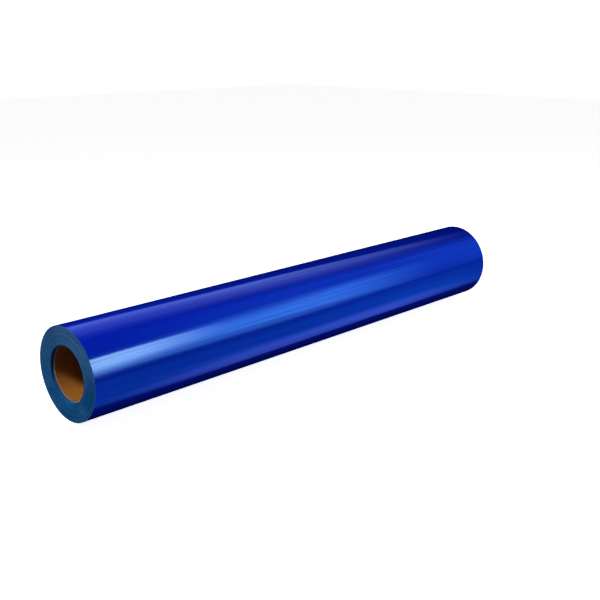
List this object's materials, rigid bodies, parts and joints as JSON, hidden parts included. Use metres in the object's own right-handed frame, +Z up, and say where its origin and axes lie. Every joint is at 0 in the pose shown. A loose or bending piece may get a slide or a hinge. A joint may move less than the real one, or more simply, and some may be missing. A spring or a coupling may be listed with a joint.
{
  "type": "roll of sign vinyl",
  "caption": "Roll of glossy blue self-adhesive sign vinyl on a cardboard core, wound face out, with a loose tail held down by tape tabs.",
  "frame": {"origin": "on the roll's axis, at mid-length", "axes": "+X along the roll's axis, +Z up with the roll lying on its side, +Y towards the back, where the web's loose end is"},
  "size_m": [0.9144, 0.1386, 0.1385],
  "materials": {
    "vinyl_film": "gloss",
    "adhesive": "gloss",
    "release_liner": "satin",
    "core_board": "matte",
    "kraft_paper": "matte",
    "double_sided_tape": "satin",
    "tab_tape": "satin"
  },
  "bodies": {
    "roll": {"core_lining_ply": "kraft_paper", "core_board_ply_1": "core_board", "core_board_ply_2": "core_board", "core_board_ply_3": "core_board", "core_board_ply_4": "core_board", "core_board_ply_5": "core_board", "core_cover_ply": "kraft_paper", "start_tape": "double_sided_tape", "wound_web": "vinyl_film", "outer_turn_film": "vinyl_film", "outer_turn_adhesive": "adhesive", "outer_turn_liner": "release_liner"},
    "tail_1": {"tail_film_1": "vinyl_film", "tail_adhesive_1": "adhesive", "tail_liner_1": "release_liner"},
    "tail_2": {"tail_film_2": "vinyl_film", "tail_adhesive_2": "adhesive", "tail_liner_2": "release_liner"},
    "tail_3": {"tail_film_3": "vinyl_film", "tail_adhesive_3": "adhesive", "tail_liner_3": "release_liner"},
    "tail_4": {"tail_film_4": "vinyl_film", "tail_adhesive_4": "adhesive", "tail_liner_4": "release_liner"},
    "liner_end": {"tail_liner_5": "release_liner"},
    "film_end": {"tail_film_5": "vinyl_film", "tail_adhesive_5": "adhesive", "tape_tabs_on_tail": "tab_tape"},
    "tape_ends": {"tape_tabs_free_ends": "tab_tape"}
  },
  "joints": [
    {"name": "tail_lift", "type": "hinge", "parent": "roll", "child": "tail_1", "pos_m": [0, 0.03466, 0.06003], "axis": [1, 0, 0], "range_deg": [0, 15]},
    {"name": "tail_bend_2", "type": "hinge", "parent": "tail_1", "child": "tail_2", "pos_m": [0, 0.04902, 0.04902], "axis": [1, 0, 0], "range_deg": [0, 15]},
    {"name": "tail_bend_3", "type": "hinge", "parent": "tail_2", "child": "tail_3", "pos_m": [0, 0.06003, 0.03466], "axis": [1, 0, 0], "range_deg": [0, 15]},
    {"name": "tail_bend_4", "type": "hinge", "parent": "tail_3", "child": "tail_4", "pos_m": [0, 0.06696, 0.01794], "axis": [1, 0, 0], "range_deg": [0, 15]},
    {"name": "tail_bend_5", "type": "hinge", "parent": "tail_4", "child": "liner_end", "pos_m": [0, 0.06932, 0], "axis": [1, 0, 0], "range_deg": [0, 15]},
    {"name": "film_peel", "type": "hinge", "parent": "liner_end", "child": "film_end", "pos_m": [0, 0.06932, 0], "axis": [1, 0, 0], "range_deg": [0, 60]},
    {"name": "tape_peel", "type": "hinge", "parent": "film_end", "child": "tape_ends", "pos_m": [0, 0.06709, -0.01798], "axis": [1, 0, 0], "range_deg": [0, 60]}
  ],
  "couplings": [
    {"joint": "tail_bend_2", "follows": "tail_lift", "ratio": 1},
    {"joint": "tail_bend_3", "follows": "tail_lift", "ratio": 1},
    {"joint": "tail_bend_4", "follows": "tail_lift", "ratio": 1},
    {"joint": "tail_bend_5", "follows": "tail_lift", "ratio": 1}
  ]
}
